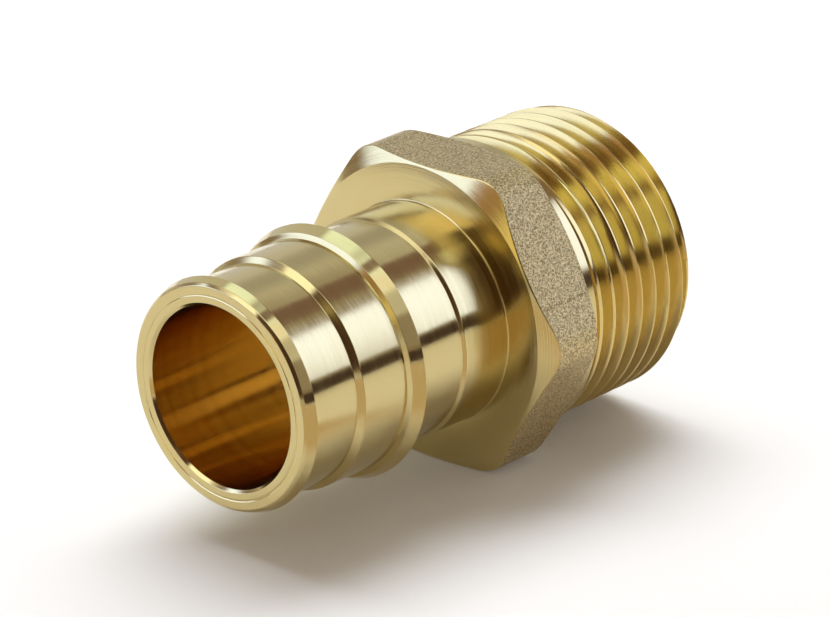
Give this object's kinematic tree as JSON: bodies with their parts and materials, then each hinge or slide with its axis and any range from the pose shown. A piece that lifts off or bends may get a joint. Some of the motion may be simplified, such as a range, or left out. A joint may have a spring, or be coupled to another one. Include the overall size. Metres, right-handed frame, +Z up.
{
  "type": "pex male adapter",
  "caption": "One-piece brass adapter: a ribbed insert for expansion tube, a wrench hexagon and a tapered male pipe thread, with a straight waterway.",
  "frame": {"origin": "centre of the bounding box's bottom, as the fitting lies on one flat of its hexagon", "axes": "+X along the waterway from the ribbed insert to the free end of the thread, +Z up through the upper wrench flat"},
  "size_m": [0.046, 0.03, 0.027],
  "materials": {
    "brass": "polished on the turned surfaces, satin on the hexagon's face, blasted on its flats"
  },
  "bodies": {
    "root": {"adapter_body": "brass"}
  },
  "joints": []
}
